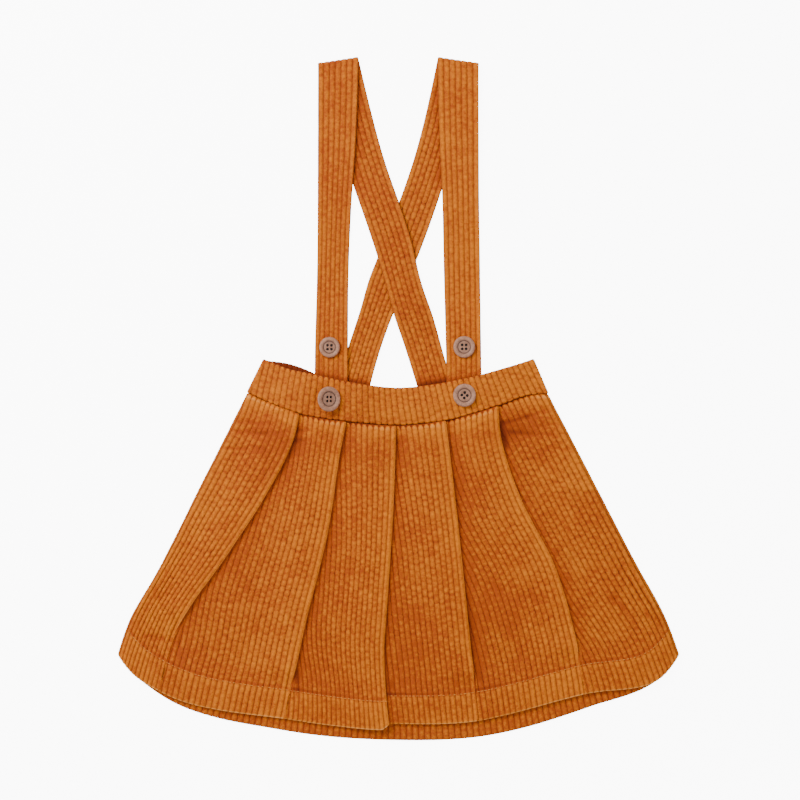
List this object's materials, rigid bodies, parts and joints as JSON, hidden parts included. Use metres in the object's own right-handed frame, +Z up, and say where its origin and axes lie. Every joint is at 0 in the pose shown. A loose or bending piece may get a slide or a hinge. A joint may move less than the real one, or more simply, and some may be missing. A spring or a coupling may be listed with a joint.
{
  "type": "overall skirt",
  "caption": "Child's flat-laid overall skirt in wide-wale corduroy, with knife pleats, waistband and crossed shoulder straps fastened by buttons.",
  "frame": {"origin": "middle of the part's outline on the surface it lies on", "axes": "+X to the right and +Y from the hem towards the shoulder folds as seen from above, +Z up from the surface"},
  "size_m": [0.5043, 0.6143, 0.0198],
  "materials": {
    "corduroy_skirt": "wide-wale corduroy, napped",
    "corduroy_band": "wide-wale corduroy, napped, slightly lighter",
    "corduroy_back": "wide-wale corduroy, plain wrong side",
    "corduroy_strap": "wide-wale corduroy, napped, two layers",
    "button": "satin"
  },
  "bodies": {
    "root": {"front_skirt": "corduroy_skirt", "back_skirt": "corduroy_back", "front_waistband": "corduroy_band", "back_waistband": "corduroy_back", "strap_left": "corduroy_strap", "strap_right": "corduroy_strap", "button_strap_left": "button", "button_strap_right": "button", "button_waist_left": "button", "button_waist_right": "button"}
  },
  "joints": []
}
